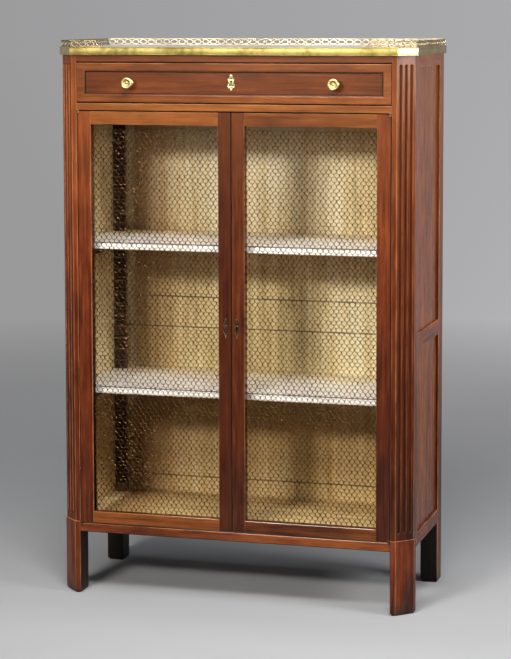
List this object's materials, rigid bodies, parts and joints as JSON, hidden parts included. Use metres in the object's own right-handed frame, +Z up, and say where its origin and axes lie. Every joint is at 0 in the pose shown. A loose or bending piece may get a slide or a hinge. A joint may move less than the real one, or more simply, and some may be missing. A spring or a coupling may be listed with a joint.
{
  "type": "bookcase cabinet",
  "caption": "Low mahogany bookcase with wire-netted doors, one drawer, fluted canted posts and a marble top with a pierced brass gallery.",
  "frame": {"origin": "middle of the footprint on the floor", "axes": "+X to the right seen from the front, +Y to the back, +Z up"},
  "size_m": [0.9288, 0.414, 1.417],
  "materials": {
    "mahogany": "old French polish, satin",
    "old_wood": "dark, unpolished",
    "oak": "plain, unpolished",
    "lined": "cream paint and paper lining",
    "marble": "polished white stone with grey veins",
    "brass": "lacquered, slightly worn",
    "steel": "dark, aged"
  },
  "bodies": {
    "carcase": {"post_front_left": "mahogany", "post_front_right": "mahogany", "post_rear_left": "mahogany", "post_rear_right": "mahogany", "rail_front_top": "mahogany", "rail_drawer": "mahogany", "rail_front_bottom": "mahogany", "rails_left": "mahogany", "rails_right": "mahogany", "panels_left": "mahogany", "panels_right": "mahogany", "back_frame": "old_wood", "back_panels": "lined", "bottom_board": "lined", "dust_board": "oak", "under_top": "oak", "marble_top": "marble", "band_left": "brass", "band_front": "brass", "band_right": "brass", "gallery_back": "brass", "gallery_left": "brass", "gallery_right": "brass", "lining_left": "lined", "lining_right": "lined", "drawer_runners": "oak", "drawer_kickers": "oak", "racks_left": "old_wood", "racks_right": "old_wood", "shelf_cleats": "old_wood", "shelf_upper": "lined", "shelf_lower": "lined", "pivot_plates": "brass"},
    "drawer": {"drawer_front": "mahogany", "drawer_moulding": "mahogany", "drawer_sides": "oak", "drawer_back": "oak", "drawer_bottom": "oak", "drawer_knobs": "brass", "drawer_escutcheon": "brass", "drawer_lock": "brass"},
    "drawer_lock_bolt": {"drawer_bolt": "steel"},
    "left_door": {"door_left_stiles": "mahogany", "door_left_rails": "mahogany", "door_left_net": "brass", "door_left_beads": "mahogany", "door_left_pivots": "brass", "door_left_escutcheon": "brass", "door_left_fittings": "steel"},
    "left_top_bolt": {"door_left_bolt_top": "steel"},
    "left_bottom_bolt": {"door_left_bolt_bottom": "steel"},
    "right_door": {"door_right_stiles": "mahogany", "door_right_rails": "mahogany", "door_right_net": "brass", "door_right_beads": "mahogany", "door_right_pivots": "brass", "door_right_escutcheon": "brass", "door_right_lock": "steel"},
    "door_lock_bolt": {"door_right_bolt": "brass"}
  },
  "joints": [
    {"name": "drawer_slide", "type": "slide", "parent": "carcase", "child": "drawer", "axis": [0, -1, 0], "range_m": [0, 0.28]},
    {"name": "drawer_lock_slide", "type": "slide", "parent": "drawer", "child": "drawer_lock_bolt", "axis": [0, 0, 1], "range_m": [0, 0.008]},
    {"name": "left_door_hinge", "type": "hinge", "parent": "carcase", "child": "left_door", "pos_m": [-0.4023, -0.184, 0.712], "axis": [0, 0, -1], "range_deg": [0, 110]},
    {"name": "left_top_bolt_slide", "type": "slide", "parent": "left_door", "child": "left_top_bolt", "axis": [0, 0, 1], "range_m": [0, 0.011]},
    {"name": "left_bottom_bolt_slide", "type": "slide", "parent": "left_door", "child": "left_bottom_bolt", "axis": [0, 0, -1], "range_m": [0, 0.011]},
    {"name": "right_door_hinge", "type": "hinge", "parent": "carcase", "child": "right_door", "pos_m": [0.4023, -0.184, 0.712], "axis": [0, 0, 1], "range_deg": [0, 110]},
    {"name": "door_lock_slide", "type": "slide", "parent": "right_door", "child": "door_lock_bolt", "axis": [-1, 0, 0], "range_m": [0, 0.008]}
  ]
}
